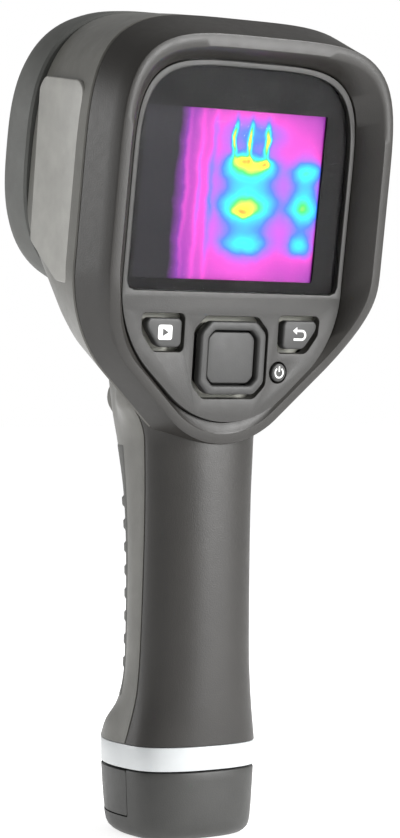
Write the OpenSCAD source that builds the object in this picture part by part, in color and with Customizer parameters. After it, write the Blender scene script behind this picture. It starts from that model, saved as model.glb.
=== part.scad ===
// Pistol-grip thermal imaging camera with its handle axis along +Z.
// Origin: the middle of the flat bottom of the battery base. +Y is where the lens looks,
// -Y is towards the user and +X is the user's right.

/* [Head] */
// Width of the head across the back shell
head_w = 95; // [93:0.5:97]
// Height of the head's top above the screen's centre
head_top = 46; // [45:0.5:47]
// Depth of the back shell between the screen rim and the shell seam
seam_depth = 8; // [7:0.5:9]
// Distance from the screen plate to the front of the bumper
bumper_depth = 60; // [58:1:62]
// Tilt of the screen from the handle axis
head_tilt = 7.5; // [6:0.5:9]

/* [Screen] */
// Visible width of the 3 inch display
screen_w = 61; // [60:0.5:62]
// Visible height of the 3 inch display
screen_h = 45.7; // [45:0.1:46]
// Half the width of the glass
glass_half_w = 35.8; // [35:0.1:36]

/* [Handle] */
// Half the width of the handle where it is held
handle_half_w = 17; // [16.5:0.1:17.5]
// Distance from the handle axis to its back surface
handle_back = 13.5; // [13:0.1:14]
// Wall of the shells
wall = 2.2; // [2:0.1:2.4]

/* [Battery] */
// Height of the battery base below the collar
base_h = 18.7; // [18:0.1:18.7]
// Diameter of the cell
cell_d = 18.3; // [18:0.1:18.5]
// Length of the cell
cell_h = 65; // [64:0.5:66]

/* [Hidden] */
$fn = 64;
cut = 0.01;

// Heights in this file are counted from a plane that lies foot below the battery base.
foot = 4.5;
module standing() translate([0, 0, -foot]) children();

// Head frame: x to the right, y up the screen, z out of the screen towards the user.
head_y = -22.5;
head_z = 180;
module in_head() translate([0, head_y, head_z]) rotate([90 + head_tilt, 0, 0]) children();
// A point of the head frame in the handle's frame.
function head_to_row(p) = [p[0],
  head_y - p[1] * sin(head_tilt) - p[2] * cos(head_tilt),
  head_z + p[1] * cos(head_tilt) - p[2] * sin(head_tilt)];

// Keypad frame: the lower part of the plate leans out by keypad_tilt below keypad_top.
keypad_top = -26;
keypad_tilt = 2.9;
module in_keypad() in_head() translate([0, keypad_top, 0]) rotate([-keypad_tilt, 0, 0])
  translate([0, -keypad_top, 0]) children();

// ---- outlines ----
flank = 41.4;
top_step = 10;
corner_steps = 5;
tip_steps = 8;
function superellipse(a, hw, hh, p) =
  [cos(a), sin(a)] / pow(pow(abs(cos(a)) / hw, p) + pow(abs(sin(a)) / hh, p), 1 / p);
function arc(c, r, a0, a1, steps) =
  [for (i = [0:steps]) let (a = a0 + (a1 - a0) * i / steps) c + r * [cos(a), sin(a)]];
// Outline of the head: a squarish arch above, flanks that close on a round tip below.
function head_ring(hw, top, p, corner_r, tip_r, bottom) = let (
    tip = [0, tip_r - bottom],
    reach = tip_r - cos(flank) * tip[1],
    cx = hw - corner_r,
    cy = (sin(flank) * cx + corner_r - reach) / cos(flank))
  concat(
    [for (a = [0:top_step:180]) superellipse(a, hw, top, p)],
    arc([-cx, cy], corner_r, 180, 270 - flank, corner_steps),
    arc(tip, tip_r, 270 - flank, 270 + flank, tip_steps),
    arc([cx, cy], corner_r, 270 + flank, 360, corner_steps));
function at_depth(ring, n) = [for (p = ring) [p[0], p[1], n]];

// Solid through rings of equal length, each ring counter-clockwise seen from above.
module loft(rings) {
  n = len(rings[0]);
  m = len(rings);
  sides = [for (i = [0:m - 2], j = [0:n - 1])
    [i * n + j, (i + 1) * n + j, (i + 1) * n + (j + 1) % n, i * n + (j + 1) % n]];
  polyhedron(points = [for (r = rings) each r],
    faces = concat([[for (j = [0:n - 1]) j]], sides, [[for (j = [n - 1:-1:0]) (m - 1) * n + j]]),
    convexity = 6);
}

// Plate between two depths of the head frame, cut from an outline.
module slab(outline, n0, n1) translate([0, 0, n0]) linear_extrude(n1 - n0) polygon(outline);
module block(lo, hi) translate(lo) cube(hi - lo);
module cyl_between(p, r, n0, n1) translate([p[0], p[1], n0]) cylinder(r = r, h = n1 - n0);

// ---- head ----
rim_n = 6.2;
rim_low_n = 0.9;
rim_fold_top = -24;
rim_fold_h = 24;
function smooth(t) = let (s = min(1, max(0, t))) s * s * (3 - 2 * s);
function rim_height(v) = rim_low_n + (rim_n - rim_low_n) * smooth((v - rim_fold_top) / rim_fold_h + 1);
rim_half_w = head_w / 2 - 1.4;
rim_top = 42.1;
tip_bottom = 68.5;
front_n = -44;
ring_center = 6;

module head_outer(inset) loft([
  at_depth(head_ring(40.4 - inset, head_top - 0.4 - inset, 3, 22, 40 - inset, 40 - inset), front_n),
  at_depth(head_ring(head_w / 2 - 3.8 - inset, head_top - inset, 3.6, 34, 34 - inset, 62 - inset), -24),
  at_depth(head_ring(head_w / 2 - inset, head_top - inset, 4.1, 38, 30 - inset, 71 - inset), -seam_depth),
  at_depth(head_ring(rim_half_w - inset, rim_top - inset, 4.25, 38, 27.6, tip_bottom - inset), rim_n)]);

// What lies in front of the rim, to be cut away: the rim folds back below the screen.
module above_rim() rotate([90, 0, 90]) translate([0, 0, -60]) linear_extrude(120)
  polygon(concat([for (v = [rim_fold_top:-4:-56]) [v, rim_height(v)]],
    [[-80, rim_low_n], [-80, 12], [rim_fold_top, 12]]));

plate_outline = head_ring(37.3, 34.8, 4.4, 30, 30, 62.1);
module recess() {
  loft([
    at_depth(head_ring(37.5, 35, 4.4, 30, 30, 62.3), 0),
    at_depth(head_ring(42.4, 38, 4.6, 35, 26, 64.8), rim_n + 0.1)]);
  slab(head_ring(37.5, 35, 4.4, 30, 30, 62.3), -2, cut);
  slab(head_ring(35.3, 33, 4.4, 28, 28, 60), -3.6, -2 + cut);
}

// ---- handle ----
// Height, half width, back and front of the handle's section.
collar_top = 30.2;
handle_stations = [
  [collar_top, handle_half_w + 2.8, handle_back - 0.2, 28.5],
  [35, handle_half_w + 2.1, handle_back - 0.1, 26.2],
  [40, handle_half_w + 1.4, handle_back, 20.5],
  [46, handle_half_w + 0.8, handle_back, 17],
  [54, handle_half_w + 0.3, handle_back, 16],
  [80, handle_half_w, handle_back, 16.5],
  [98, handle_half_w + 0.2, handle_back, 18.5],
  [112, handle_half_w + 0.8, handle_back, 22.5],
  [122, handle_half_w + 1.8, handle_back, 26],
  [140, handle_half_w + 2, handle_back, 28]];
handle_mid = -1;
function handle_ring(s, inset) = [for (a = [0:10:350]) let (
    hw = s[1] - inset,
    hh = (sin(a) < 0 ? s[2] + handle_mid : s[3] - handle_mid) - inset,
    p = superellipse(a, hw, hh, sin(a) < 0 ? 2.4 : 2.2))
  [p[0], p[1] + handle_mid, s[0]]];
module handle_outer(inset, drop) loft([for (i = [0:len(handle_stations) - 1])
  let (s = handle_stations[i]) handle_ring([s[0] - (i == 0 ? drop : 0), s[1], s[2], s[3]], inset)]);

// Zone of the rear shell: behind the seam, which runs down the head and then down the handle.
seam_y = -2.4;
seam_gap = 0.3;
module rear_zone(gap) rotate([90, 0, 90]) translate([0, 0, -60]) linear_extrude(120) polygon([
  row_yz([0, 60, -seam_depth], gap), row_yz([0, -48, -seam_depth], gap), [seam_y - gap, 121],
  [seam_y - gap, 50], [seam_y + 4 - gap, collar_top - 6], [-60, collar_top - 6], [-60, 260]]);
function row_yz(p, gap) = let (q = head_to_row(p)) [q[1] - gap, q[2]];
module front_zone(gap) difference() {
  translate([-60, -60, collar_top - 6]) cube([120, 130, 240]);
  rear_zone(-gap);
}

module shell_body() {
  in_head() head_outer(0);
  handle_outer(0, 0);
}
module shell_hollow() {
  in_head() intersection() {
    head_outer(wall);
    block([-60, -58, front_n + wall], [60, 60, -3.6]);
  }
  handle_outer(wall, 2);
}

module rear_shell() color([0.22, 0.22, 0.21]) standing() difference() {
  intersection() {
    shell_body();
    rear_zone(seam_gap / 2);
  }
  shell_hollow();
  in_head() recess();
  in_head() lcd_block(0.4);
  in_head() above_rim();
}

module front_shell() color([0.46, 0.46, 0.44]) standing() {
  front_casing();
  for (side = [-1, 1]) trigger_ear(side);
}
module front_casing() difference() {
  intersection() {
    shell_body();
    front_zone(seam_gap / 2);
  }
  shell_hollow();
  in_head() side_recess(1);
  in_head() side_recess(-1);
  in_head() slab(ring_outline(33, 31), front_n - 2, front_n + wall + 1);
  in_head() usb_cutout(0.4);
  difference() {
    grip_zone(0);
    handle_outer(rubber, 2);
  }
  block([-5.4, 8, 117.2], [5.4, 40, 132]);
  screw_holes();
}
// Ear inside the shell that holds one end of the trigger's pin.
module trigger_ear(side) difference() {
  translate([side > 0 ? 5.7 : -7.7, 17.5, 126]) cube([2, 7.4, 6.5]);
  translate([-8, trigger_axis[0], trigger_axis[1]]) rotate([0, 90, 0]) cylinder(r = 1, h = 16);
}

// ---- side panels ----
side_slope = 9.6;
module in_side(side) mirror([side < 0 ? 1 : 0, 0, 0])
  translate([head_w / 2 - 0.4, 0, -seam_depth]) rotate([0, side_slope, 0]) children();
panel_outline = [[24, -6], [26, -9], [26, -30], [23, -33], [-18, -31], [-27, -13], [-27, -6]];
module panel(inset, depth0, depth1) translate([-depth0, 0, 0]) rotate([0, -90, 0])
  linear_extrude(depth1 - depth0) polygon([for (p = panel_outline) [
    p[1] + (p[1] < -18 ? inset : -inset), p[0] + (p[0] > 0 ? -inset : inset)]]);
module side_recess(side) in_side(side) panel(0, -3, 1.6);
module side_panel(side) color([0.6, 0.6, 0.58]) standing() in_head() in_side(side) panel(0.2, 0.5, 1.6);
module side_panel_left() side_panel(-1);
module side_panel_right() side_panel(1);

// ---- grip ----
grip_low = 42;
grip_high = 112;
grip_half_w = 12;
rubber = 1.2;
ridge_pitch = 6.3;
ridge_count = 8;
ridge_low = 50;
module grip_zone(gap) translate([-grip_half_w + gap, 6, grip_low + gap])
  cube([2 * (grip_half_w - gap), 40, grip_high - grip_low - 2 * gap]);
module grip_rubber() color([0.3, 0.3, 0.29]) standing() difference() {
  intersection() {
    union() {
      handle_outer(0, 0);
      intersection() {
        handle_outer(-0.7, 0);
        for (i = [0:ridge_count - 1])
          translate([-9, 13, ridge_low + i * ridge_pitch]) cube([18, 12, 3.4]);
      }
    }
    grip_zone(0.15);
  }
  handle_outer(rubber - 0.1, 2);
}

// ---- front ----
function ring_outline(hw, hh) =
  [for (a = [0:10:350]) superellipse(a, hw, hh, 2.8) + [0, ring_center]];
bumper_back = front_n - 0.3;
bumper_front = -bumper_depth;
plate_n0 = bumper_front + 4;
plate_n1 = bumper_front + 7;
module front_bumper() color([0.26, 0.26, 0.24]) standing() in_head() difference() {
  loft([
    at_depth(ring_outline(36, 35), bumper_front),
    at_depth(ring_outline(39.6, 38.6), bumper_front + 2.5),
    at_depth(ring_outline(41, 39.8), bumper_front + 8),
    at_depth(ring_outline(41.2, 39.9), bumper_back)]);
  slab(ring_outline(32, 30), bumper_front - 1, bumper_back + 1);
  slab(ring_outline(36, 34.4), plate_n1, bumper_back + 1);
}
lens_c = [0, 6];
lens_hole_r = 9.5;
cam_c = [17, 24];
cap_pivot = [-20, -14];
cap_reach = 28.3;
cap_turn = 50;
lever_r = 13;
lever_angle = -80;
lever_slot_half = 2.1;
module front_plate() color([0.16, 0.16, 0.16]) standing() in_head() difference() {
  slab(ring_outline(31.8, 29.8), plate_n0, plate_n1);
  cyl_between(lens_c, lens_hole_r, plate_n0 - 1, plate_n1 + 1);
  translate([lens_c[0], lens_c[1], plate_n0 - cut]) cylinder(r1 = 14, r2 = lens_hole_r, h = 2.2);
  cyl_between(cam_c, 3.2, plate_n0 - 1, plate_n1 + 1);
  cyl_between(cap_pivot, 1.25, plate_n0 - 1, plate_n1 + 1);
  lever_slot();
}
// Arc slot that the cap's lever runs in, on the side away from the blade.
module lever_slot() translate([cap_pivot[0], cap_pivot[1], plate_n0 - 1])
  rotate([0, 0, 45 + lever_angle - 9]) rotate_extrude(angle = cap_turn + 18)
    translate([lever_r - lever_slot_half, 0]) square([2 * lever_slot_half, 5]);
cap_n1 = plate_n1 + 1.6;
cap_n0 = plate_n1 + 0.4;
module lens_cap() color([0.14, 0.14, 0.15]) standing() in_head() translate([cap_pivot[0], cap_pivot[1], 0]) {
  difference() {
    rotate([0, 0, 45 + cap_turn]) union() {
      translate([cap_reach, 0, cap_n0]) cylinder(r = 11, h = cap_n1 - cap_n0);
      translate([0, -3, cap_n0]) cube([cap_reach, 6, cap_n1 - cap_n0]);
      translate([0, 0, cap_n0]) cylinder(r = 4, h = cap_n1 - cap_n0);
      rotate([0, 0, lever_angle]) translate([0, -2.5, cap_n0])
        cube([lever_r + 1, 5, cap_n1 - cap_n0]);
      rotate([0, 0, lever_angle]) translate([lever_r, 0, plate_n0 - 2.2])
        cylinder(r = 1.6, h = cap_n1 - plate_n0 + 2.2);
    }
    translate([0, 0, cap_n0 - 1]) cylinder(r = 1.3, h = 4);
  }
}
module lens_cap_pin() color([0.7, 0.7, 0.72]) standing() in_head() {
  cyl_between(cap_pivot, 1.25, plate_n0 + 0.4, cap_n1 + 1.4);
  cyl_between(cap_pivot, 2.6, cap_n1 + 0.3, cap_n1 + 1.4);
}

// ---- lens train ----
barrel_front = cap_n1 + 0.6;
module lens_barrel() color([0.12, 0.12, 0.13]) standing() in_head() difference() {
  union() {
    cyl_between(lens_c, 11.5, barrel_front + 2, -36);
    cyl_between(lens_c, 15, -40, -36);
  }
  cyl_between(lens_c, 10, barrel_front - 1, barrel_front + 6);
  cyl_between(lens_c, 8, barrel_front, -35);
}
module ir_lens() color([0.35, 0.3, 0.42]) standing() in_head() translate([lens_c[0], lens_c[1], barrel_front + 3])
  rotate_extrude() difference() {
    intersection() {
      translate([0, 16]) circle(r = 18);
      square([9.9, 3]);
    }
    translate([0, 19]) circle(r = 17);
  }
module lens_ring() color([0.55, 0.55, 0.56]) standing() in_head() difference() {
  cyl_between(lens_c, 12.4, barrel_front, barrel_front + 2);
  cyl_between(lens_c, 9.2, barrel_front - 1, barrel_front + 3);
}
flag_pivot = [13, -4];
flag_reach = 16.4;
flag_rest = 72.4;
module shutter_housing() color([0.2, 0.2, 0.2]) standing() in_head() difference() {
  block([-10.5, -9.5, -35.8], [27, 21.5, -31.5]);
  block([-9, -8, -34.6], [25.7, 20, -32.7]);
  cyl_between(lens_c, 7, -37, -30);
  cyl_between(flag_pivot, 1.05, -37, -30);
}
// Paddle that drops in front of the detector to calibrate it.
module shutter_flag() color([0.1, 0.1, 0.1]) standing() in_head()
  translate([flag_pivot[0], flag_pivot[1], 0]) rotate([0, 0, flag_rest]) {
    translate([flag_reach, 0, -34.2]) cylinder(r = 7.6, h = 1);
    translate([0, -1.3, -34.2]) cube([flag_reach, 2.6, 1]);
    translate([0, 0, -34.2]) cylinder(r = 1.9, h = 1);
    translate([0, 0, -35.6]) cylinder(r = 1, h = 4);
  }
module detector_module() color([0.55, 0.5, 0.3]) standing() in_head() {
  block([-12, -6, -31.3], [12, 18, -27]);
  block([-14, -8, -27], [14, 20, -25.4]);
}
module visual_camera() color([0.15, 0.15, 0.16]) standing() in_head() {
  block([cam_c[0] - 4.2, cam_c[1] - 4.2, -48], [cam_c[0] + 4.2, cam_c[1] + 4.2, -44.5]);
  cyl_between(cam_c, 2.9, -52.6, -48);
}
module visual_window() color([0.05, 0.05, 0.06]) standing() in_head() cyl_between(cam_c, 3.15, plate_n0 + 0.4, plate_n0 + 1.4);

// ---- electronics ----
module main_board() color([0.1, 0.35, 0.2]) standing() in_head() difference() {
  block([-36, -26, -17.6], [36, 30, -16]);
  for (x = [-33, 33], y = [-22, 27]) cyl_between([x, y], 1.3, -19, -15);
}
module processor_shield() color([0.75, 0.76, 0.78]) standing() in_head() difference() {
  block([-16, -14, -21], [16, 16, -17.7]);
  block([-15.6, -13.6, -20.6], [15.6, 15.6, -17]);
}
module display_frame() color([0.7, 0.71, 0.72]) standing() in_head() difference() {
  block([-36.5, -29.5, -7.4], [36.5, 29.5, -3.8]);
  block([-35.1, -28.1, -6.6], [35.1, 28.1, -3]);
  block([-20, -15, -8], [20, 15, -6]);
}
screen_c = [-2.7, -1];
// Block of the display module, grown by a gap on its four sides.
module lcd_block(gap) block(
  [screen_c[0] - screen_w / 2 - 1.8 - gap, screen_c[1] - screen_h / 2 - 2 - gap, -6.4],
  [screen_c[0] + screen_w / 2 + 3.6 + gap, screen_c[1] + screen_h / 2 + 2 + gap, -2.3 + gap / 2]);
module lcd_module() color([0.05, 0.05, 0.08]) standing() in_head() difference() {
  lcd_block(0);
  block([screen_c[0] - screen_w / 2, screen_c[1] - screen_h / 2, -2.5],
    [screen_c[0] + screen_w / 2, screen_c[1] + screen_h / 2, -2]);
}
function window_outline(inset) = concat(
  [for (a = [0:top_step:180]) superellipse(a, glass_half_w - inset, 33.3 - inset, 4.4)],
  [[inset - glass_half_w, -25], [inset + 2 - glass_half_w, -27 + inset],
    [glass_half_w - 2 - inset, -27 + inset], [glass_half_w - inset, -25]]);
module display_window() color([0.02, 0.02, 0.03]) standing() in_head() slab(window_outline(0.15), -1.6, -0.3);

// ---- bezel plate and keys ----
key_outer = [[16.9, -32.9], [29.4, -32.9], [30.3, -34], [30, -38.2], [26.6, -42.6],
  [25.4, -43.3], [17, -43.3], [16, -42.3], [16, -33.8]];
key_mid = [22.6, -38];
function key_outline(inset) = [for (p = key_outer) [
  p[0] + (p[0] > key_mid[0] ? -inset : inset), p[1] + (p[1] > key_mid[1] ? -inset : inset)]];
nav_c = [0, -44.6];
nav_half = [11.1, 9.9];
nav_key_half = [8.4, 7.5];
nav_chamfer = 3.2;
function chamfered(c, h, k) = [for (q = [[1, 1], [-1, 1], [-1, -1], [1, -1]])
  let (o = (q[0] * q[1] > 0)) each [
    c + [q[0] * (h[0] - (o ? 0 : k)), q[1] * (h[1] - (o ? k : 0))],
    c + [q[0] * (h[0] - (o ? k : 0)), q[1] * (h[1] - (o ? 0 : k))]]];
power_c = [16.8, -48.5];
power_r = 2.5;

// What lies in front of the plate's face: flat over the screen, leaning out below it.
module above_plate() rotate([90, 0, 90]) translate([0, 0, -60]) linear_extrude(120)
  polygon([[60, 0], [keypad_top, 0], [-80, (80 + keypad_top) * tan(keypad_tilt)],
    [-80, 12], [60, 12]]);
module bezel_plate() color([0.39, 0.39, 0.38]) standing() in_head() difference() {
  slab(plate_outline, -2, 5);
  above_plate();
  slab(window_outline(0), -3, 6);
  slab(key_outline(0), -3, 6);
  mirror([1, 0, 0]) slab(key_outline(0), -3, 6);
  slab(chamfered(nav_c, nav_half + [1.7, 1.5], nav_chamfer + 0.6), -3, 6);
  cyl_between(power_c, power_r + 0.5, -3, 6);
}
key_base = -2.1;
module side_key(side) color([0.45, 0.45, 0.44]) standing() in_keypad() mirror([side < 0 ? 1 : 0, 0, 0])
  slab(key_outline(1.3), key_base, 0.7);
module archive_button() side_key(-1);
module back_button() side_key(1);
module power_button() color([0.45, 0.45, 0.44]) standing() in_keypad() cyl_between(power_c, power_r, key_base, 0.5);
module nav_plate() color([0.3, 0.3, 0.3]) standing() in_keypad() difference() {
  slab(chamfered(nav_c, nav_half - [0.6, 0.6], nav_chamfer), -3, -2.4);
  slab(chamfered(nav_c, nav_key_half - [3, 3], 1), -4, 0);
}
module nav_ring() color([0.42, 0.42, 0.41]) standing() in_keypad() difference() {
  slab(chamfered(nav_c, nav_half, nav_chamfer), -1.5, 1.3);
  slab(chamfered(nav_c, nav_key_half, 2), -2, 2);
}
module nav_center() color([0.44, 0.44, 0.43]) standing() in_keypad() {
  slab(chamfered(nav_c, nav_key_half - [0.5, 0.5], 1.8), -0.9, 0.2);
  slab(chamfered(nav_c, nav_key_half - [3.6, 3.6], 0.8), -2.4, -0.9 + cut);
}
module keypad_membrane() color([0.7, 0.7, 0.66]) standing() in_keypad() slab(keypad_zone(0), -5, -4.2);
module keypad_board() color([0.1, 0.35, 0.2]) standing() in_keypad() slab(keypad_zone(1), -6.7, -5.4);
function keypad_zone(inset) = [[33 - inset, -31 - inset], [-33 + inset, -31 - inset],
  [-31 + inset, -38], [-12, -57 + inset], [12, -57 + inset], [31 - inset, -38]];

// ---- usb socket and cover on the top of the head ----
usb_c = [8, -17];
usb_top = 45.9;
module usb_cutout(gap) block([usb_c[0] - 13 - gap, usb_top - 9, usb_c[1] - 6 - gap],
  [usb_c[0] + 13 + gap, usb_top + 3, usb_c[1] + 6 + gap]);
module usb_socket() color([0.72, 0.73, 0.75]) standing() in_head() difference() {
  block([usb_c[0] - 4, usb_top - 14, usb_c[1] - 1.6], [usb_c[0] + 4, usb_top - 8.5, usb_c[1] + 1.6]);
  block([usb_c[0] - 3.5, usb_top - 13, usb_c[1] - 1.1], [usb_c[0] + 3.5, usb_top, usb_c[1] + 1.1]);
}
cover_pin = [usb_c[0] - 11.5, usb_top - 2.2];
module usb_cover() color([0.24, 0.24, 0.23]) standing() in_head() difference() {
  union() {
    block([usb_c[0] - 11.5, usb_top - 3, usb_c[1] - 5.8], [usb_c[0] + 12.8, usb_top - 0.4, usb_c[1] + 5.8]);
    translate([cover_pin[0], cover_pin[1], usb_c[1] - 5.8]) cylinder(r = 1.6, h = 11.6);
  }
  translate([cover_pin[0], cover_pin[1], usb_c[1] - 8]) cylinder(r = 0.8, h = 16);
}
module usb_cover_pin() color([0.7, 0.7, 0.72]) standing() in_head()
  translate([cover_pin[0], cover_pin[1], usb_c[1] - 7]) cylinder(r = 0.75, h = 14);

// ---- trigger ----
trigger_axis = [20.5, 129];
module trigger() color([0.3, 0.3, 0.29]) standing() difference() {
  rotate([90, 0, 90]) translate([0, 0, -5]) linear_extrude(10) polygon([
    [18.5, 131], [23, 131.2], [29, 130], [32.6, 126.5], [33.1, 124], [32.4, 122], [29, 118.6],
    [22, 118.2], [20, 119.2], [22, 122], [22, 126.5], [18.5, 127.5]]);
  translate([-8, trigger_axis[0], trigger_axis[1]]) rotate([0, 90, 0]) cylinder(r = 1.05, h = 16);
}
module trigger_pin() color([0.7, 0.7, 0.72]) standing()
  translate([-7.5, trigger_axis[0], trigger_axis[1]]) rotate([0, 90, 0]) cylinder(r = 1, h = 15);
module trigger_spring() color([0.75, 0.75, 0.77]) standing() translate([0, 14.4, 123.6]) rotate([-90, 0, 0])
  for (i = [0:3]) translate([0, 0, i * 1.1]) rotate_extrude() translate([1.8, 0]) circle(r = 0.3, $fn = 16);
module trigger_switch() color([0.1, 0.1, 0.1]) standing() block([-3, 8.5, 119], [3, 14, 126]);

// ---- collar and battery ----
collar_low = 23.5;
base_top = foot + base_h;
base_stations = [[foot, 16.4, 10.6, 22.5], [foot + 1.8, 18, 12.1, 25.4], [foot + 4.6, 18.7, 12.8, 26.8],
  [base_top, 19.6, 13.2, 28.2]];
module base_outer() loft([for (s = base_stations) handle_ring(s, 0)]);
module collar_ring() color([0.9, 0.92, 0.92]) standing() difference() {
  loft([handle_ring([collar_low, 19.7, 13.3, 28.3], 0.1), handle_ring([collar_top - 0.1, 19.8, 13.3, 28.5], 0.1)]);
  loft([handle_ring([collar_low - 1, 19.7, 13.3, 28.3], 2.2), handle_ring([collar_top + 1, 19.8, 13.3, 28.5], 2.2)]);
}
latch_y = [1.5, 21];
latch_low = foot + 6;
module latch_window(side, gap) translate([side > 0 ? 8 : -30, latch_y[0] - gap, latch_low - gap])
  cube([22, latch_y[1] - latch_y[0] + 2 * gap, base_h + 3]);
module battery_base() color([0.29, 0.29, 0.28]) standing() difference() {
  base_outer();
  translate([0, 0, case_low]) linear_extrude(base_h) base_section(2.4);
  for (s = [-1, 1]) latch_window(s, 0.4);
}
// A tab has the base's own section, a little inside it.
module base_section(inset) polygon([for (p = handle_ring(base_stations[2], inset)) [p[0], p[1]]]);
module latch(side) color([0.31, 0.31, 0.3]) standing() translate([0, 0, latch_low])
  linear_extrude(base_top - 0.4 - latch_low) intersection() {
    difference() {
      base_section(0.1);
      base_section(2);
    }
    translate([side > 0 ? 10 : -30, latch_y[0]]) square([20, latch_y[1] - latch_y[0]]);
  }
module latch_left() latch(-1);
module latch_right() latch(1);
case_low = foot + 2.4;
case_top = 92;
case_gap = 1.1;
// The case has the section of the handle at its narrowest, inside the shells.
module battery_case() color([0.13, 0.13, 0.13]) standing() difference() {
  translate([0, 0, case_low]) linear_extrude(case_top - case_low)
    polygon([for (p = handle_ring(handle_stations[4], wall + case_gap)) [p[0], p[1]]]);
  translate([0, 1, 14]) cylinder(d = cell_d + 0.6, h = 70);
}
module battery_cell() color([0.2, 0.4, 0.7]) standing() translate([0, 1, 16]) cylinder(d = cell_d, h = cell_h);
module battery_contacts() color([0.85, 0.7, 0.3]) standing() for (x = [-7.5, -2.5, 2.5, 7.5])
  translate([x - 1.2, -6, case_top]) cube([2.4, 8, 0.4]);
module battery_dock() color([0.16, 0.16, 0.16]) standing() block([-10.5, -8, 93.4], [10.5, 8, 99]);

// ---- fasteners ----
screw_spots = [[33, -18], [-33, -18], [29, 33], [-29, 33]];
module screw_holes() in_head() for (p = screw_spots) cyl_between(p, 1.3, -44, -8);
module housing_screws() color([0.6, 0.6, 0.62]) standing() in_head() for (p = screw_spots) {
  cyl_between(p, 1.25, -36, -22);
  cyl_between(p, 2.4, -22, -20);
}

rear_shell();
front_shell();
side_panel_left();
side_panel_right();
grip_rubber();
front_bumper();
front_plate();
bezel_plate();
display_window();
lcd_module();
display_frame();
keypad_membrane();
keypad_board();
main_board();
processor_shield();
detector_module();
shutter_housing();
shutter_flag();
lens_barrel();
ir_lens();
lens_ring();
visual_camera();
visual_window();
lens_cap();
lens_cap_pin();
archive_button();
back_button();
power_button();
nav_plate();
nav_ring();
nav_center();
usb_socket();
usb_cover();
usb_cover_pin();
trigger();
trigger_pin();
trigger_spring();
trigger_switch();
battery_dock();
collar_ring();
battery_base();
battery_case();
battery_cell();
battery_contacts();
latch_left();
latch_right();
housing_screws();
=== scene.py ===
"""Looks of a pistol-grip thermal imaging camera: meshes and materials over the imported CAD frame.

Lengths are millimetres in the frame of the part that they belong to. BODY is the handle's frame,
HEAD the screen's (x right, y up the screen, z out of it) and KEYPAD the leaning part below it.
"""
import math

import bmesh
import bpy
from mathutils import Matrix, Vector


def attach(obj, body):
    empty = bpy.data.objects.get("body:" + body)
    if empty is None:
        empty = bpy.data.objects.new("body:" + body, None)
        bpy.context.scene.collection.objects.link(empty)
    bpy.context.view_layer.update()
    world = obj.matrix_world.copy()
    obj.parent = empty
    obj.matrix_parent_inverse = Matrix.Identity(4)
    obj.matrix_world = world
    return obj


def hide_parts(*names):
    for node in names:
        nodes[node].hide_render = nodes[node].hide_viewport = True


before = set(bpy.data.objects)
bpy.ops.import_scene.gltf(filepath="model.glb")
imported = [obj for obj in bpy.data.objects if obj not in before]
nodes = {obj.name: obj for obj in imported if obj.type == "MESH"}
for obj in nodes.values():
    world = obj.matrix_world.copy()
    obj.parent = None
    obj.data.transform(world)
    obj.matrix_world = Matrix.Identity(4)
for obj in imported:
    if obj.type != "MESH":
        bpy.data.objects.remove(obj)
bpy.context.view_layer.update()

# ---- frames ----
HEAD_TILT = 7.5
KEYPAD_TILT = 2.9
KEYPAD_TOP = -26


def turn(degrees, axis):
    return Matrix.Rotation(math.radians(degrees), 4, axis)


def shift(x, y, z):
    return Matrix.Translation((x, y, z))


FOOT = 4.5
BODY = Matrix.Scale(0.001, 4) @ shift(0, 0, -FOOT)
HEAD = BODY @ shift(0, -22.5, 180) @ turn(90 + HEAD_TILT, "X")
KEYPAD = HEAD @ shift(0, KEYPAD_TOP, 0) @ turn(-KEYPAD_TILT, "X") @ shift(0, -KEYPAD_TOP, 0)
# Outlines in this frame are (forward, up), and their depth runs to the right.
ACROSS = BODY @ Matrix(((0, 0, 1, 0), (1, 0, 0, 0), (0, 1, 0, 0), (0, 0, 0, 1)))

# ---- driving sizes ----
HEAD_HALF_W = 47.5
HEAD_TOP = 46
SEAM_N = -8
MIDDLE_N = -24
FRONT_N, BUMPER_N = -44, -60
RIM_N, RIM_LOW_N = 6.2, 0.9
FLANK = 41.4
WALL = 2.2
GROOVE = 0.25
SCREEN_C, SCREEN_W, SCREEN_H = (-2.7, -1), 61, 45.7
RING_CENTER = 6
COLLAR_TOP, COLLAR_LOW = 30.2, 23.5
HANDLE_LOW = COLLAR_TOP + 0.1
SIDE_SLOPE, SIDE_SUNK = 9.6, 0.4
NECK_FRONT_TOP = 141.5


# ---- outlines ----
def superellipse(a, hw, hh, p):
    c, s = math.cos(math.radians(a)), math.sin(math.radians(a))
    r = (abs(c / hw) ** p + abs(s / hh) ** p) ** (-1 / p)
    return (c * r, s * r)


def arc(centre, r, a0, a1, steps):
    angles = [math.radians(a0 + (a1 - a0) * i / steps) for i in range(steps + 1)]
    return [(centre[0] + r * math.cos(a), centre[1] + r * math.sin(a)) for a in angles]


def head_ring(hw, top, p, corner_r, tip_r, bottom, inset=0.0):
    """Outline of the head: a squarish arch above, flanks that close on a round tip below."""
    hw, top, bottom = hw - inset, top - inset, bottom - inset
    corner_r, tip_r = corner_r - inset, tip_r - inset
    slope = math.radians(FLANK)
    tip = (0, tip_r - bottom)
    reach = tip_r - math.cos(slope) * tip[1]
    cx = hw - corner_r
    cy = (math.sin(slope) * cx + corner_r - reach) / math.cos(slope)
    return (
        [superellipse(2.5 * i, hw, top, p) for i in range(73)]
        + arc((-cx, cy), corner_r, 180, 270 - FLANK, 20)
        + arc(tip, tip_r, 270 - FLANK, 270 + FLANK, 36)
        + arc((cx, cy), corner_r, 270 + FLANK, 360, 20)
    )


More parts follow.
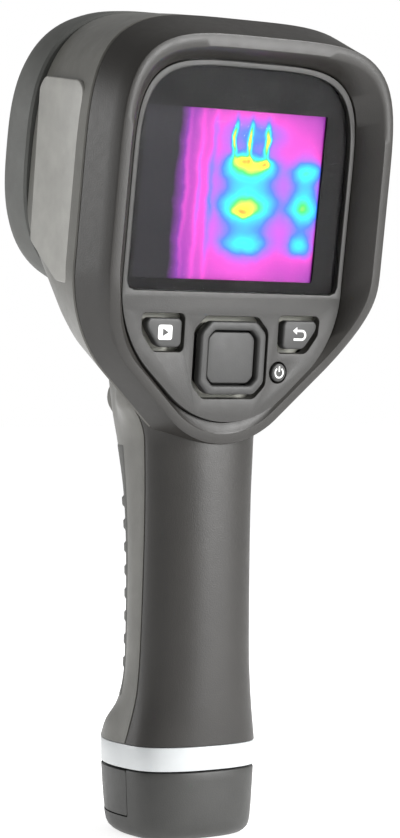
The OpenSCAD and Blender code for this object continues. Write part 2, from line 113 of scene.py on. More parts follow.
SEAM = (HEAD_HALF_W, HEAD_TOP, 4.1, 38, 30, 71)
RIM_OUT = (46.1, 42.1, 4.25, 38, 27.6, 68.5)
RIM_IN = (42.4, 38, 4.6, 36, 24.5, 65)
PLATE = (37.3, 34.8, 4.4, 30, 30, 62.1)
MIDDLE = (43.7, HEAD_TOP, 3.6, 34, 34, 62)
FRONT = (40.4, 45.6, 3, 22, 40, 40)


def smooth_step(t):
    t = min(1, max(0, t))
    return t * t * (3 - 2 * t)


def rim_height(v):
    """The rim stands proud round the screen and folds back below it."""
    return RIM_LOW_N + (RIM_N - RIM_LOW_N) * smooth_step((v + 24) / 24 + 1)


def flat(ring, n):
    return [(p[0], p[1], n) for p in ring]


def on_rim(ring, drop=0.0):
    return [(p[0], p[1], rim_height(p[1]) - drop) for p in ring]


def between(a, b, t):
    return [tuple(Vector(p).lerp(Vector(q), t)) for p, q in zip(a, b)]


def chamfered(centre, half, k):
    """Rectangle with cut corners."""
    x, y = half
    corners = [(x, y - k), (x - k, y), (k - x, y), (-x, y - k),
               (-x, k - y), (k - x, -y), (x - k, -y), (x, k - y)]
    return [(centre[0] + p[0], centre[1] + p[1]) for p in corners]


def rounded(outline, r, steps=5):
    """Outline with each corner replaced by a curve that starts r before it."""
    points, n = [], len(outline)
    for i, corner in enumerate(outline):
        c = Vector(corner)
        a, b = Vector(outline[i - 1]) - c, Vector(outline[(i + 1) % n]) - c
        cut = min(r, 0.45 * a.length, 0.45 * b.length)
        start, end = c + a.normalized() * cut, c + b.normalized() * cut
        for j in range(steps + 1):
            t = j / steps
            points.append(tuple(start * (1 - t) ** 2 + c * (2 * t * (1 - t)) + end * t * t))
    return points


# ---- mesh tools ----
def mesh_object(name, verts, faces, place):
    mesh = bpy.data.meshes.new(name)
    mesh.from_pydata([place @ Vector(v) for v in verts], [], faces)
    tidy = bmesh.new()
    tidy.from_mesh(mesh)
    bmesh.ops.remove_doubles(tidy, verts=tidy.verts, dist=1e-6)
    bmesh.ops.recalc_face_normals(tidy, faces=tidy.faces)
    tidy.to_mesh(mesh)
    tidy.free()
    obj = bpy.data.objects.new(name, mesh)
    bpy.context.scene.collection.objects.link(obj)
    return obj


def loft(name, rings, place, closed=False):
    """Skin through rings of equal length. closed joins the last ring to the first."""
    n, m = len(rings[0]), len(rings)
    verts = [p for ring in rings for p in ring]
    faces = []
    for i in range(m if closed else m - 1):
        a, b = i * n, (i + 1) % m * n
        faces += [(a + j, a + (j + 1) % n, b + (j + 1) % n, b + j) for j in range(n)]
    if not closed:
        faces += [tuple(reversed(range(n))), tuple(range((m - 1) * n, m * n))]
    return mesh_object(name, verts, faces, place)


def prism(name, outline, n0, n1, place):
    return loft(name, [flat(outline, n0), flat(outline, n1)], place)


def settle(obj):
    """Bakes the modifiers into the mesh."""
    shape = obj.evaluated_get(bpy.context.evaluated_depsgraph_get())
    mesh = bpy.data.meshes.new_from_object(shape)
    obj.modifiers.clear()
    obj.data = mesh
    return obj


def carve(obj, *cutters, operation="DIFFERENCE"):
    """Cuts obj with other meshes, which are then gone."""
    for cutter in cutters:
        step = obj.modifiers.new("cut", "BOOLEAN")
        step.operation, step.solver, step.object = operation, "EXACT", cutter
    settle(obj)
    for cutter in cutters:
        bpy.data.objects.remove(cutter)
    return obj


def soften(obj, width, segments=3, angle=34):
    step = obj.modifiers.new("edge", "BEVEL")
    step.width, step.segments = width / 1000, segments
    step.limit_method, step.angle_limit = "ANGLE", math.radians(angle)
    step.use_clamp_overlap = True
    return settle(obj)


def join(first, *others):
    """Puts several meshes in one piece."""
    merged = bmesh.new()
    for obj in (first, *others):
        merged.from_mesh(obj.data)
    merged.to_mesh(first.data)
    merged.free()
    for obj in others:
        bpy.data.objects.remove(obj)
    return first


def finish(obj, material, slot, body, *replaced, sharp=38):
    """Shades and paints a piece, puts it on its body and hides the CAD nodes that it stands for."""
    obj.data.materials.clear()
    obj.data.materials.append(material)
    obj.data.shade_smooth()
    obj.data.set_sharp_from_angle(angle=math.radians(sharp))
    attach(obj, body)
    if replaced:
        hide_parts(*replaced)
    return obj


# ---- materials ----
class Shader:
    """A Principled material with helpers that add and wire nodes."""

    def __init__(self, name, roughness=0.5, **sockets):
        self.material = bpy.data.materials.new(name)
        self.material.use_nodes = True
        self.tree = self.material.node_tree
        self.main = self.tree.nodes["Principled BSDF"]
        self.main.inputs["Roughness"].default_value = roughness
        for key, value in sockets.items():
            self.main.inputs[key.replace("_", " ")].default_value = value

    def node(self, kind, **settings):
        made = self.tree.nodes.new(kind)
        for key, value in settings.items():
            if key in made.inputs:
                made.inputs[key].default_value = value
            else:
                setattr(made, key, value)
        return made

    def wire(self, output, target):
        self.tree.links.new(output, target)

    def noise(self, scale, detail=3.0, roughness=0.5):
        where = self.node("ShaderNodeTexCoord")
        made = self.node("ShaderNodeTexNoise", Scale=scale, Detail=detail, Roughness=roughness)
        self.wire(where.outputs["Object"], made.inputs["Vector"])
        return made.outputs["Fac"]

    def ramp(self, value, stops):
        made = self.node("ShaderNodeValToRGB")
        band = made.color_ramp
        band.elements[0].position, band.elements[1].position = stops[0][0], stops[-1][0]
        for place, _ in stops[1:-1]:
            band.elements.new(place)
        for element, (_, colour) in zip(band.elements, stops):
            element.color = (*colour, 1)
        self.wire(value, made.inputs["Fac"])
        return made.outputs["Color"]

    def bump(self, height, strength, distance=0.0002):
        made = self.node("ShaderNodeBump", Strength=strength, Distance=distance)
        self.wire(height, made.inputs["Height"])
        self.wire(made.outputs["Normal"], self.main.inputs["Normal"])


def linear(rgb):
    """Linear colour of an sRGB colour given in 0-255."""
    return tuple(((c / 255 + 0.055) / 1.055) ** 2.4 if c > 10 else c / 3294.6 for c in rgb)


def shaded(rgb, factor):
    return tuple(min(1, c * factor) for c in linear(rgb))


def plastic(name, rgb, roughness=0.5, grain=2600, relief=0.35, mottle=0.1, **sockets):
    """Moulded plastic or rubber: fine spark grain, faint mottling and worn-in gloss changes."""
    made = Shader(name, roughness, **sockets)
    made.wire(made.ramp(made.noise(130, 5, 0.6), [
        (0.32, shaded(rgb, 1 - mottle)), (0.68, shaded(rgb, 1 + mottle))]),
        made.main.inputs["Base Color"])
    gloss = made.node("ShaderNodeMapRange")
    gloss.inputs["To Min"].default_value = max(0.05, roughness - 0.07)
    gloss.inputs["To Max"].default_value = min(1, roughness + 0.07)
    made.wire(made.noise(420, 4), gloss.inputs["Value"])
    made.wire(gloss.outputs["Result"], made.main.inputs["Roughness"])
    made.bump(made.noise(grain, 2, 0.6), relief, 0.00012)
    return made.material


def metal(name, rgb, roughness=0.3, brushed=900):
    made = Shader(name, roughness, Metallic=1.0)
    made.wire(made.ramp(made.noise(160, 5), [
        (0.3, shaded(rgb, 0.86)), (0.7, shaded(rgb, 1.08))]), made.main.inputs["Base Color"])
    made.bump(made.noise(brushed, 4, 0.7), 0.12, 0.00005)
    return made.material


def board_green():
    made = Shader("board_green", 0.35)
    made.wire(made.ramp(made.noise(300, 6, 0.7), [
        (0.42, linear((20, 70, 42))), (0.5, linear((28, 92, 54))), (0.62, linear((36, 108, 64)))]),
        made.main.inputs["Base Color"])
    made.bump(made.noise(1500, 3), 0.3)
    return made.material


def clear_glass():
    made = Shader("window_clear", 0.03, Transmission_Weight=1.0, IOR=1.03, Specular_IOR_Level=0.1)
    made.wire(made.ramp(made.noise(40, 2), [
        (0.3, (0.95, 0.96, 0.97)), (0.7, (0.98, 0.98, 0.98))]), made.main.inputs["Base Color"])
    made.bump(made.noise(260, 2), 0.01, 0.00001)
    return made.material


def false_colour():
    """Generic heat picture: soft blobs summed in the screen's own frame, then put on a scale."""
    made = Shader("heat_picture", 0.4, Specular_IOR_Level=0.2)
    spot = made.node("ShaderNodeAttribute", attribute_name="screen")
    warp = made.node("ShaderNodeTexNoise", Scale=9.0, Detail=3.0)
    made.wire(spot.outputs["Vector"], warp.inputs["Vector"])
    shove = made.node("ShaderNodeVectorMath", operation="MULTIPLY_ADD")
    made.wire(warp.outputs["Color"], shove.inputs[0])
    shove.inputs[1].default_value = (0.05, 0.05, 0)
    made.wire(spot.outputs["Vector"], shove.inputs[2])
    total = None
    for x, y, rx, ry, heat in HEAT_SPOTS:
        off = made.node("ShaderNodeVectorMath", operation="SUBTRACT")
        made.wire(shove.outputs["Vector"], off.inputs[0])
        off.inputs[1].default_value = (x + 0.025, y + 0.025, 0)
        scaled = made.node("ShaderNodeVectorMath", operation="DIVIDE")
        made.wire(off.outputs["Vector"], scaled.inputs[0])
        scaled.inputs[1].default_value = (rx, ry, 1)
        squared = made.node("ShaderNodeVectorMath", operation="DOT_PRODUCT")
        made.wire(scaled.outputs["Vector"], squared.inputs[0])
        made.wire(scaled.outputs["Vector"], squared.inputs[1])
        bell = made.node("ShaderNodeMath", operation="POWER")
        bell.inputs[0].default_value = BELL_BASE
        made.wire(squared.outputs["Value"], bell.inputs[1])
        sized = made.node("ShaderNodeMath", operation="MULTIPLY_ADD")
        made.wire(bell.outputs["Value"], sized.inputs[0])
        sized.inputs[1].default_value = heat
        if total is None:
            sized.inputs[2].default_value = 0.0
        else:
            made.wire(total, sized.inputs[2])
        total = sized.outputs["Value"]
    colour = made.ramp(total, [
        (0.0, linear((10, 8, 16))), (0.16, linear((104, 34, 128))), (0.28, linear((190, 60, 168))),
        (0.4, linear((52, 96, 214))), (0.52, linear((40, 190, 214))), (0.64, linear((60, 196, 84))),
        (0.78, linear((240, 226, 60))), (0.92, linear((232, 60, 36)))])
    made.wire(colour, made.main.inputs["Base Color"])
    made.wire(colour, made.main.inputs["Emission Color"])
    made.main.inputs["Emission Strength"].default_value = 0.6
    return made.material


BELL_BASE = 0.3679  # 1 / e
# Centre, radii and heat of each blob, on a screen that is 1 wide and 0.75 high.
HEAT_SPOTS = (
    [(0.55, 0.37, 0.8, 0.9, 0.27), (0.02, 0.37, 0.15, 2.0, -0.75)]
    + [(0.25 + 0.07 * i, 0.4, 0.016, 0.6, 0.07) for i in range(3)]
    + [(0.6, 0.36, 0.17, 0.24, 0.22), (0.93, 0.36, 0.1, 0.22, 0.24)]
    + [(0.62, 0.66, 0.2, 0.07, 0.12)]
    + [(0.6, 0.5 - 0.17 * i, 0.13, 0.045, 0.3 - 0.06 * i) for i in range(3)]
    + [(0.92, 0.5 - 0.17 * i, 0.08, 0.045, 0.2) for i in range(3)]
    + [(0.55, 0.53, 0.06, 0.022, 0.3), (0.68, 0.52, 0.04, 0.02, 0.28)]
    + [(0.57, 0.3, 0.05, 0.02, 0.26)]
    + [(0.5 + 0.09 * i, 0.62, 0.012, 0.07, 0.42) for i in range(3)]
)

SHELL_DARK = plastic("shell_dark_plastic", (38, 36, 33), 0.4)
SHELL_GREY = plastic("shell_grey_plastic", (96, 95, 90), 0.36)
PANEL_GREY = plastic("panel_grey_plastic", (146, 145, 140), 0.42)
BEZEL = plastic("bezel_plastic", (44, 43, 41), 0.44)
KEYS = plastic("key_rubber", (46, 46, 45), 0.46, grain=1800, relief=0.2)
GRIP = plastic("grip_rubber", (74, 74, 71), 0.55, grain=1900, relief=0.5)
BUMPER = plastic("bumper_rubber", (84, 85, 82), 0.6, grain=2000, relief=0.5)
BASE = plastic("base_plastic", (52, 52, 50), 0.46)
COLLAR = plastic("collar_white", (198, 201, 202), 0.35, relief=0.1, mottle=0.02)
BLACK = plastic("black_plastic", (12, 12, 13), 0.5, Specular_IOR_Level=0.15)
PRINT = plastic("key_print", (238, 238, 236), 0.5, relief=0.1, mottle=0.02)
SEAL = plastic("silicone", (178, 178, 168), 0.6)
WRAP = plastic("cell_wrap", (40, 92, 150), 0.35, relief=0.1)
STEEL = metal("steel", (176, 178, 182))
GOLD = metal("gold_contact", (214, 178, 92), 0.22)
GERMANIUM = metal("germanium", (92, 84, 104), 0.12, 300)
GREEN = board_green()
GLASS = clear_glass()
HEAT = false_colour()


# ---- handle ----
# Height, half width, back and front of the handle's section.
STATIONS = [(30.2, 19.8, 13.3, 28.5), (35, 19.1, 13.4, 26.2), (40, 18.4, 13.5, 20.5),
            (46, 17.8, 13.5, 17), (54, 17.3, 13.5, 16), (80, 17, 13.5, 16.5),
            (98, 17.2, 13.5, 18.5), (112, 17.8, 13.5, 22.5), (122, 18.2, 13.2, 26),
            (134, 18.4, 12.8, 27.6), (142, 17.5, 12.5, 22)]
HANDLE_MID = -1
NECK_R, NECK_LOW, NECK_HIGH = 14, 112.2, 122.6


def station_at(z, stations=STATIONS):
    """Section at a height, on a smooth curve through the stations."""
    i = max(j for j in range(len(stations) - 1) if stations[j][0] <= z or j == 0)
    a, b = stations[i], stations[i + 1]
    before, after = stations[max(i - 1, 0)], stations[min(i + 2, len(stations) - 1)]
    t, span = (z - a[0]) / (b[0] - a[0]), b[0] - a[0]
    row = []
    for k in (1, 2, 3):
        m0 = (b[k] - before[k]) / (b[0] - before[0]) * span
        m1 = (after[k] - a[k]) / (after[0] - a[0]) * span
        row.append((2 * t**3 - 3 * t**2 + 1) * a[k] + (t**3 - 2 * t**2 + t) * m0
                   + (3 * t**2 - 2 * t**3) * b[k] + (t**3 - t**2) * m1)
    return row


def section_point(a, row, inset=0.0):
    half_w, back, front = row
    rear = math.sin(math.radians(a)) < 0
    depth = (back + HANDLE_MID if rear else front - HANDLE_MID) - inset
    x, y = superellipse(a, half_w - inset, depth, 2.4 if rear else 2.2)
    return x, y + HANDLE_MID


def handle_point(a, z, inset=0.0):
    """Point of the handle, which spreads into the head's flanks at its neck."""
    row = station_at(z)
    x, y = section_point(a, row, inset)
    rise = min(max(z - NECK_LOW, 0), NECK_HIGH - NECK_LOW)
    spread = NECK_R - math.sqrt(NECK_R**2 - rise**2)
    fade = (1 - smooth_step((y - 2) / 12)) * abs(x / row[0]) ** 3
    return (x + math.copysign(spread * fade, x), y, z)


def seam_y(z):
    """Where the two halves of the handle meet: forward at the collar, then slowly back."""
    return -1.2 - 1.6 * (z - 45) / 60 if z > 45 else -1.2 + 3 * ((45 - z) / 15) ** 1.3


def seam_angle(z, y):
    """Angle on the left side at which the section is at y."""
    low, high = 120, 240
    for _ in range(30):
        mid = (low + high) / 2
        if handle_point(mid, z)[1] > y:
            low = mid
        else:
            high = mid
    return low


def half_section(z, rear):
    """Closed wall section of one half of the handle, open towards the other half."""
    y = seam_y(z) - GROOVE if rear else seam_y(z) + GROOVE
    left = seam_angle(z, y)
    start, end = (left, 540 - left) if rear else (180 - left, left)
    angles = [start + (end - start) * i / 64 for i in range(65)]
    outer = [handle_point(a, z) for a in angles]
    inner = [handle_point(a, z, WALL) for a in reversed(angles)]
    for ring in (outer, inner):
        for k in (0, -1):
            x, _, _ = ring[k]
            ring[k] = (x - math.copysign(0.12, x), y, z)
    return outer + inner


def heights(low, high, step):
    count = round((high - low) / step)
    return [low + (high - low) * i / count for i in range(count + 1)]


# ---- shells ----
def rear_shell():
    edge = on_rim(head_ring(*RIM_OUT), 0.9)
    seam = flat(head_ring(*SEAM), SEAM_N + 0.6)
    skirt = loft("skirt", [
        flat(head_ring(*SEAM, inset=0.35), SEAM_N + GROOVE), seam,
        between(seam, edge, 0.33), between(seam, edge, 0.66), edge,
        on_rim(head_ring(*RIM_OUT, inset=0.27), 0.27), on_rim(head_ring(*RIM_OUT, inset=0.9)),
        on_rim(head_ring(*RIM_IN, inset=-0.5)), on_rim(head_ring(*RIM_IN), 0.4),
        flat(head_ring(*PLATE, inset=-0.4), 0.25), flat(head_ring(*PLATE, inset=-0.25), -2.3),
        flat(head_ring(*PLATE, inset=2), -2.4), flat(head_ring(*PLATE, inset=2), -3.6),
        flat(head_ring(*SEAM, inset=WALL), -4), flat(head_ring(*SEAM, inset=WALL), SEAM_N + GROOVE),
    ], HEAD, closed=True)
    back = loft("back", [half_section(z, True) for z in heights(HANDLE_LOW, NECK_HIGH, 1.6)], BODY)
    return finish(join(skirt, back), SHELL_DARK, "shell_dark", "camera", "rear_shell")


def side_place(side):
    mirror = Matrix.Scale(side, 4, (1, 0, 0))
    return HEAD @ mirror @ shift(HEAD_HALF_W - SIDE_SUNK, 0, SEAM_N) @ turn(SIDE_SLOPE, "Y")


PANEL = [(24, -6), (26, -9), (26, -30), (23, -33), (-18, -31), (-27, -13), (-27, -6)]


def side_prism(name, side, grow, depth0, depth1):
    middle = (0, -19)
    ring = rounded([(v + math.copysign(grow, v - middle[0]), n + math.copysign(grow, n - middle[1]))
                    for v, n in PANEL], 1.5)
    return loft(name, [[(d, v, n) for v, n in ring] for d in (depth0, depth1)], side_place(side))


def side_panel(side, name):
    panel = soften(side_prism(name, side, -0.25, -1.7, -0.35), 0.35)
    return finish(panel, PANEL_GREY, "panel_grey", "camera", name)


def front_shell():
    seam = flat(head_ring(*SEAM), SEAM_N - 0.6)
    middle = flat(head_ring(*MIDDLE), MIDDLE_N)
    front = flat(head_ring(*FRONT), FRONT_N + 1)
    hole = [superellipse(math.degrees(math.atan2(v - RING_CENTER, u)), 33, 31, 2.8)
            for u, v in head_ring(*FRONT)]
    hole = [(u, v + RING_CENTER) for u, v in hole]
    casing = loft("casing", [
        flat(head_ring(*SEAM, inset=0.35), SEAM_N - GROOVE), seam,
        between(seam, middle, 0.45), between(seam, middle, 0.9), between(middle, front, 0.08),
        between(middle, front, 0.5), front, flat(head_ring(*FRONT, inset=1), FRONT_N),
        flat(hole, FRONT_N), flat(hole, FRONT_N + WALL),
        flat(head_ring(*FRONT, inset=WALL), FRONT_N + WALL),
        flat(head_ring(*MIDDLE, inset=WALL), MIDDLE_N),
        flat(head_ring(*SEAM, inset=WALL), SEAM_N - GROOVE),
    ], HEAD, closed=True)
    carve(casing, side_prism("left", -1, 0, 4, -1.7), side_prism("right", 1, 0, 4, -1.7),
          prism("usb", rounded([(-5.4, 36.9), (21.4, 36.9), (21.4, 49), (-5.4, 49)], 0.5),
                -23.4, -10.6, HEAD))
    levels = heights(HANDLE_LOW, NECK_FRONT_TOP, 1.6)
    grip_front = loft("grip_front", [half_section(z, False) for z in levels], BODY)
    slot = prism("slot", [(8, 117.2), (40, 117.2), (40, 132), (8, 132)], -5.4, 5.4, ACROSS)
    carve(grip_front, slot)
    return finish(join(casing, grip_front), SHELL_GREY, "shell_grey", "camera", "front_shell")


RIDGES, RIDGE_LOW, RIDGE_PITCH, RIDGE_H = 8, 50, 6.3, 3.4


def ridge_lift(z):
    """How proud the grip is at a height: rounded bars with shallow valleys between."""
    for i in range(RIDGES):
        t = (z - RIDGE_LOW - i * RIDGE_PITCH) / RIDGE_H
        if 0 <= t <= 1:
            return 0.62 * min(1, smooth_step(t / 0.22), smooth_step((1 - t) / 0.22))
    return 0.0


GRIP_LOW, GRIP_HIGH, GRIP_PROUD, GRIP_ROUND = 42.2, 111.8, 0.12, 0.8
GRIP_SPREAD, GRIP_STEPS = (27, 153), 48


def grip():
    """Strip round the front of the handle, rounded off at its ends and sunk along its sides."""
    low, high = GRIP_SPREAD
    angles = [low + (high - low) * i / GRIP_STEPS for i in range(GRIP_STEPS + 1)]
    under_angles = [high - (high - low) * i / GRIP_STEPS for i in range(GRIP_STEPS + 1)]
    rings = []
    for z in heights(GRIP_LOW, GRIP_HIGH, 0.35):
        end = min(z - GRIP_LOW, GRIP_HIGH - z)
        rim = GRIP_PROUD
        if end <= GRIP_ROUND:
            rim = -0.4 * (1 - end / GRIP_ROUND) ** 2 + GRIP_PROUD
        row = []
        for i, a in enumerate(angles):
            edge = min(i, GRIP_STEPS - i)
            side = -0.5 if edge == 0 else 0
            row.append(handle_point(a, z, -(rim + side + ridge_lift(z) * smooth_step(edge / 8))))
        rings.append(row + [handle_point(a, z, 1.0) for a in under_angles])
    skin = loft("grip_rubber_skin", rings, BODY)
    return finish(skin, GRIP, "grip_rubber", "camera", "grip_rubber", sharp=50)


def bumper_ring(hw, hh, n):
    ring = [superellipse(2.5 * i, hw, hh, 2.8) for i in range(144)]
    return [(u, v + RING_CENTER, n) for u, v in ring]


def front_bumper():
    n0, n1 = BUMPER_N, FRONT_N - 0.4
    profile = [(40.6, 39.3, n1), (41.2, 39.9, n1 - 0.7), (41.2, 39.9, n1 - 4), (41, 39.7, -52.5),
               (40.3, 39.1, -55.5), (39, 37.9, -57.8), (37, 36, -59.4), (35, 34, n0),
               (33.2, 32, n0 + 0.2), (32.2, 30.4, n0 + 1.2), (32, 30, n0 + 3), (32, 30, -53.2),
               (36, 34.4, -53), (36, 34.4, n1)]
    skin = loft("front_bumper_skin", [bumper_ring(*station) for station in profile], HEAD, closed=True)
    return finish(skin, BUMPER, "grip_rubber", "camera", "front_bumper")


# ---- screen, plate and keys ----
# Pocket of the right key. The left one is its mirror image.
KEY = [(16.9, -32.9), (29.4, -32.9), (30.3, -34), (30, -38.2), (26.6, -42.6), (25.4, -43.3),
       (17, -43.3), (16, -42.3), (16, -33.8)]
KEY_MID, KEY_LOW = (22.9, -38), -2.1
NAV_C, NAV_HALF, NAV_KEY, NAV_CUT = (0, -44.6), (11.1, 9.9), (8.4, 7.5), 3.2
POWER_C, POWER_R = (16.8, -48.5), 2.5
WINDOW = (35.8, 33.3, 4.4)


def key_ring(side, inset):
    ring = [(x - math.copysign(inset, x - KEY_MID[0]), y - math.copysign(inset, y - KEY_MID[1]))
            for x, y in KEY]
    return rounded([(side * x, y) for x, y in ring], 0.9)


def window_ring(inset):
    hw, hh, p = WINDOW
    top = [superellipse(2.5 * i, hw - inset, hh - inset, p) for i in range(73)]
    x, y = hw - inset, -27 + inset
    corner = [(x - 2.4, y), (x - 0.7, y + 0.7), (x, y + 2.4)]
    return top + [(-p, q) for p, q in reversed(corner)] + corner


def disc(centre, r, steps=48):
    turns = [math.tau * i / steps for i in range(steps)]
    return [(centre[0] + r * math.cos(a), centre[1] + r * math.sin(a)) for a in turns]


def bezel_plate():
    plate = prism("bezel_plate_skin", head_ring(*PLATE), -2, 5, HEAD)
    lean = math.tan(math.radians(KEYPAD_TILT))
    over = [(60, 0), (KEYPAD_TOP + 3, 0), (KEYPAD_TOP - 3, 3 * lean),
            (-80, lean * (KEYPAD_TOP + 80)), (-80, 12), (60, 12)]
    above = loft("above", [[(x, v, n) for v, n in over] for x in (-60, 60)], HEAD)
    holes = [prism("hole", ring, -3, 6, HEAD) for ring in (
        window_ring(0), key_ring(1, 0), key_ring(-1, 0),
        rounded(chamfered(NAV_C, (NAV_HALF[0] + 1.5, NAV_HALF[1] + 1.3), NAV_CUT + 0.6), 1.2),
        disc(POWER_C, POWER_R + 0.5))]
    carve(plate, above)
    carve(plate, *holes)
    return finish(soften(plate, 0.45), BEZEL, "bezel_plastic", "camera", "bezel_plate")


def key_piece(name, ring, low, high, edge, body, node):
    key = soften(prism(name, ring, low, high, KEYPAD), edge, 4)
    return finish(key, KEYS, "key_rubber", body, node)


def printed(name, rings, n, body):
    """Symbol printed on a key, as thin raised ink."""
    marks = [prism(name, ring, n - 0.05, n + 0.05, KEYPAD) for ring in rings]
    return finish(join(*marks), PRINT, "key_rubber", body)


def stroke(points, width):
    """Outline of a line of even width through the points."""
    left, right = [], []
    for i, p in enumerate(points):
        a, b = Vector(points[max(i - 1, 0)]), Vector(points[min(i + 1, len(points) - 1)])
        side = (b - a).normalized().orthogonal() * width / 2
        left.append(tuple(Vector(p) + side))
        right.append(tuple(Vector(p) - side))
    return left + right[::-1]


def keys():
    for side, name, node in ((-1, "archive_key", "archive_button"), (1, "back_key", "back_button")):
        key_piece(name + "_skin", key_ring(side, 1.3), KEY_LOW, 0.7, 0.6, name, node)
    key_piece("power_key_skin", disc(POWER_C, POWER_R), KEY_LOW, 0.5, 0.45, "power_key",
              "power_button")
    outline = rounded(chamfered(NAV_C, NAV_HALF, NAV_CUT), 1.2)
    ring = prism("nav_ring_skin", outline, -1.5, 1.3, KEYPAD)
    carve(ring, prism("nav_hole", rounded(chamfered(NAV_C, NAV_KEY, 2), 0.8), -2, 2, KEYPAD))
    finish(soften(ring, 0.75, 4), KEYS, "key_rubber", "nav_pad", "nav_ring")
    inner = (NAV_KEY[0] - 0.5, NAV_KEY[1] - 0.5)
    key_piece("nav_center_skin", rounded(chamfered(NAV_C, inner, 1.8), 0.8), -2.2, 0.2, 0.4,
              "nav_press", "nav_center")
    x, y = -KEY_MID[0], KEY_MID[1]
    square = [(x - 2.3, y - 2), (x + 2.3, y - 2), (x + 2.3, y + 2), (x - 2.3, y + 2)]
    triangle = [(x - 0.8, y - 1.1), (x + 1.2, y), (x - 0.8, y + 1.1)]
    tile = prism("archive_print", rounded(square, 0.8), 0.65, 0.75, KEYPAD)
    carve(tile, prism("play", triangle, 0, 2, KEYPAD))
    finish(tile, PRINT, "key_rubber", "archive_key")
    x = KEY_MID[0]
    bend = [(x - 1, y + 1.1)] + arc((x + 0.9, y - 0.1), 1.2, 90, -90, 10) + [(x - 1.9, y - 1.3)]
    arrow = [(x - 2.3, y + 1.1), (x - 0.9, y + 2.1), (x - 0.9, y + 0.1)]
    printed("back_print", [stroke(bend, 0.6), arrow], 0.7, "back_key")
    x, y = POWER_C
    loop, bar = arc((x, y), 1.35, 125, 415, 28), [(x, y + 0.3), (x, y + 1.75)]
    printed("power_print", [stroke(loop, 0.42), stroke(bar, 0.42)], 0.5, "power_key")


def screen():
    glass = soften(prism("display_window_skin", window_ring(0.15), -1.5, -0.3, HEAD), 0.2, 2)
    finish(glass, GLASS, "screen_glass", "camera", "display_window")
    x, y = SCREEN_C
    w, h = SCREEN_W / 2, SCREEN_H / 2
    ring = [(x + w, y + h), (x - w, y + h), (x - w, y - h), (x + w, y - h)]
    mask = prism("window_mask", window_ring(0.1), -1.9, -1.6, HEAD)
    carve(mask, prism("view", rounded(ring, 0.4), -3, 0, HEAD))
    finish(mask, BLACK, "black_plastic", "camera")
    picture = prism("display_picture", rounded(ring, 0.4), -2.6, -2.35, HEAD)
    finish(picture, HEAT, "display", "camera")
    to_head = HEAD.inverted()
    spot = picture.data.attributes.new("screen", "FLOAT_VECTOR", "POINT")
    for vert, item in zip(picture.data.vertices, spot.data):
        p = to_head @ vert.co
        item.vector = ((p.x - x) / SCREEN_W + 0.5, (p.y - y) / SCREEN_W + 0.375, 0)


# ---- cover, trigger, collar and battery ----
def usb_cover():
    ring = rounded([(-3.4, 42.9), (20.8, 42.9), (20.8, 45.6), (-3.4, 45.6)], 0.9)
    cover = soften(prism("usb_cover_skin", ring, -22.8, -11.2, HEAD), 0.4)
    finish(cover, BUMPER, "cover_rubber", "usb_cover", "usb_cover")


def trigger():
    side = rounded([
        (18.5, 131), (23, 131.2), (29, 130), (32.6, 126.5), (33.1, 124), (32.4, 122), (29, 118.6),
        (22, 118.2), (20, 119.2), (22, 122), (22, 126.5), (18.5, 127.5)], 1.6)
    body = soften(prism("trigger_skin", side, -5, 5, ACROSS), 1.1, 4)
    finish(body, SHELL_GREY, "trigger_plastic", "trigger", "trigger")


def whole_section(z, row, inset=0.0):
    return [(*section_point(2.5 * i, row, inset), z) for i in range(144)]


def collar():
    low, high = (19.7, 13.3, 28.3), (19.8, 13.3, 28.5)
    z0, z1 = COLLAR_LOW, COLLAR_TOP - 0.1
    profile = [(z0, low, 2.2), (z0, low, 0.5), (z0 + 0.12, low, 0.22), (z0 + 0.4, low, 0.1),
               (z1 - 0.4, high, 0.1), (z1 - 0.12, high, 0.22), (z1, high, 0.5), (z1, high, 2.2)]
    skin = loft("collar_ring_skin", [whole_section(*station) for station in profile], BODY, closed=True)
    finish(skin, COLLAR, "collar_white", "camera", "collar_ring")


# Height, half width, back and front of the battery base's section.
BASE_ROWS = [(FOOT, 16.4, 10.6, 22.5), (FOOT + 1.8, 18, 12.1, 25.4),
             (FOOT + 4.6, 18.7, 12.8, 26.8), (23.2, 19.6, 13.2, 28.2)]
# Height above the flat bottom and inset there: both ends are rounded off.
BASE_EDGE = [(0, 1.1), (0.3, 0.45), (0.9, 0.1), (1.8, 0), (3, 0), (4.6, 0), (8, 0), (12, 0), (16, 0),
             (18.1, 0), (18.45, 0.12), (18.6, 0.4)]
LATCH_Y, LATCH_Z = (1.5, 21), (FOOT + 6, 22.8)


def latch_block(name, side, gap, x0, x1, rise=0.0):
    (y0, y1), (z0, z1) = LATCH_Y, LATCH_Z
    ring = rounded([(y0 - gap, z0 - gap), (y1 + gap, z0 - gap), (y1 + gap, z1 + gap + rise),
                    (y0 - gap, z1 + gap + rise)], 0.8)
    return loft(name, [[(side * x, y, z) for y, z in ring] for x in (x0, x1)], BODY)


def battery_base():
    """Base of the battery with its well and two latch windows, and the tab in each window."""
    inner = BASE_ROWS[2][1:]
    body = loft("battery_base_skin", [
        whole_section(FOOT + rise, station_at(FOOT + rise, BASE_ROWS), edge)
        for rise, edge in BASE_EDGE], BODY)
    carve(body, loft("well", [whole_section(z, inner, 1.9) for z in (FOOT + 2.4, 34)], BODY),
          latch_block("left", -1, 0.35, 8, 30, 3), latch_block("right", 1, 0.35, 8, 30, 3))
    finish(body, BASE, "base_plastic", "battery", "battery_base", sharp=30)
    for side, name in ((-1, "latch_left"), (1, "latch_right")):
        tab = loft(name + "_skin", [
            whole_section(z, station_at(z, BASE_ROWS), 0.12) for z in (9, 12, 15, 18, 21, 23.1)], BODY)
        carve(tab, latch_block("keep", side, 0, 10, 30), operation="INTERSECT")
        carve(tab, loft("inside", [whole_section(z, inner, 2.0) for z in (0, 30)], BODY))
        finish(soften(tab, 0.3), BASE, "base_plastic", name, name, sharp=30)


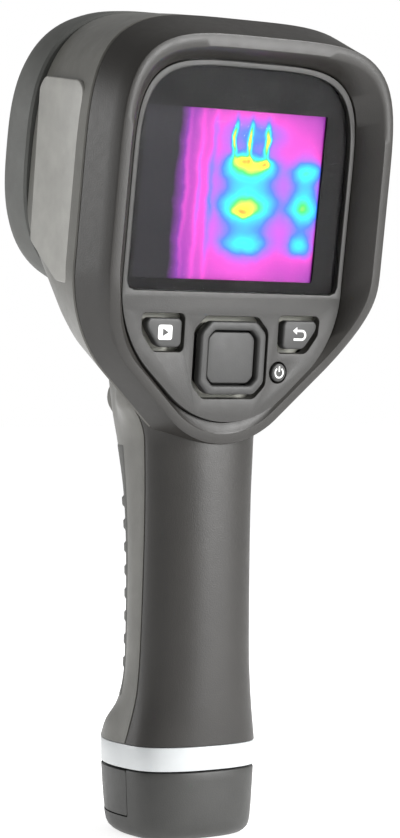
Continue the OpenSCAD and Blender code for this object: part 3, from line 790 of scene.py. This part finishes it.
def carried_over():
    """Hidden and small CAD pieces keep their own shape and get a finish."""
    finishes = {
        "display_frame": STEEL, "keypad_membrane": SEAL, "keypad_board": GREEN, "main_board": GREEN,
        "processor_shield": STEEL, "detector_module": GOLD, "shutter_housing": BLACK,
        "shutter_flag": BLACK, "lens_barrel": BLACK, "ir_lens": GERMANIUM, "lens_ring": STEEL,
        "visual_camera": BLACK, "visual_window": GLASS, "lens_cap": BLACK, "lens_cap_pin": STEEL,
        "nav_plate": BLACK, "usb_socket": STEEL, "usb_cover_pin": STEEL, "trigger_pin": STEEL,
        "trigger_spring": STEEL, "trigger_switch": BLACK, "battery_dock": BLACK,
        "battery_case": BLACK, "battery_cell": WRAP, "battery_contacts": GOLD,
        "housing_screws": STEEL, "front_plate": BLACK, "lcd_module": BLACK,
    }
    for name, material in finishes.items():
        obj = nodes[name]
        for spot in obj.material_slots:
            spot.link = "OBJECT"
            spot.material = material
        if not obj.material_slots:
            obj.data.materials.append(material)


rear_shell()
front_shell()
side_panel(-1, "side_panel_left")
side_panel(1, "side_panel_right")
grip()
front_bumper()
bezel_plate()
keys()
screen()
usb_cover()
trigger()
collar()
battery_base()
carried_over()


# ---- light and camera ----
def area_light(name, place, aim, wide, power):
    data = bpy.data.lights.new(name, "AREA")
    data.shape, data.size, data.energy = "DISK", wide, power
    lamp = bpy.data.objects.new(name, data)
    lamp.location = place
    lamp.rotation_euler = (Vector(aim) - Vector(place)).to_track_quat("-Z", "Y").to_euler()
    bpy.context.scene.collection.objects.link(lamp)


def studio():
    """White surround. It lights the object less than it shows, so that the lamps shape it."""
    world = bpy.data.worlds.new("studio")
    bpy.context.scene.world = world
    world.use_nodes = True
    tree = world.node_tree
    shown = tree.nodes["Background"]
    shown.inputs["Color"].default_value = (1, 1, 1, 1)
    lighting = tree.nodes.new("ShaderNodeBackground")
    lighting.inputs["Color"].default_value = (1, 1, 1, 1)
    lighting.inputs["Strength"].default_value = 0.34
    path, mix = tree.nodes.new("ShaderNodeLightPath"), tree.nodes.new("ShaderNodeMixShader")
    tree.links.new(path.outputs["Is Camera Ray"], mix.inputs[0])
    tree.links.new(lighting.outputs[0], mix.inputs[1])
    tree.links.new(shown.outputs[0], mix.inputs[2])
    tree.links.new(mix.outputs[0], tree.nodes["World Output"].inputs["Surface"])


studio()
bpy.context.scene.view_settings.view_transform = "Standard"
area_light("key", (0.6, -0.7, 0.8), (0, 0, 0.12), 0.35, 9)
area_light("glow", (0.52, -0.84, 0.27), (0, 0, 0.12), 0.28, 6.5)
area_light("side", (-0.72, 0.85, 0.35), (0, 0, 0.14), 0.4, 3.2)
FLOOR_HALF, FLOOR_Z = 4000, FOOT - 0.01
floor = mesh_object("floor", [
    (x * FLOOR_HALF, y * FLOOR_HALF, FLOOR_Z) for x, y in ((-1, -1), (1, -1), (1, 1), (-1, 1))],
    [(0, 1, 2, 3)], BODY)
floor.data.materials.append(plastic(
    "pale_floor", (250, 250, 250), 0.7, grain=60, relief=0.02, mottle=0.01,
    Emission_Color=(1, 1, 1, 1), Emission_Strength=0.7))

data = bpy.data.cameras.new("camera")
data.lens, data.sensor_width = 127.9, 36
data.clip_start, data.clip_end = 0.05, 10
camera = bpy.data.objects.new("camera", data)
right, up, behind = (0.7969, -0.604, 0.0129), (0.0016, 0.0236, 0.9997), (-0.6041, -0.7967, 0.0198)
camera.matrix_world = Matrix.Translation((-0.4927, -0.654225, 0.130458)) @ Matrix(
    (right, up, behind)).transposed().to_4x4()
bpy.context.scene.collection.objects.link(camera)
bpy.context.scene.camera = camera
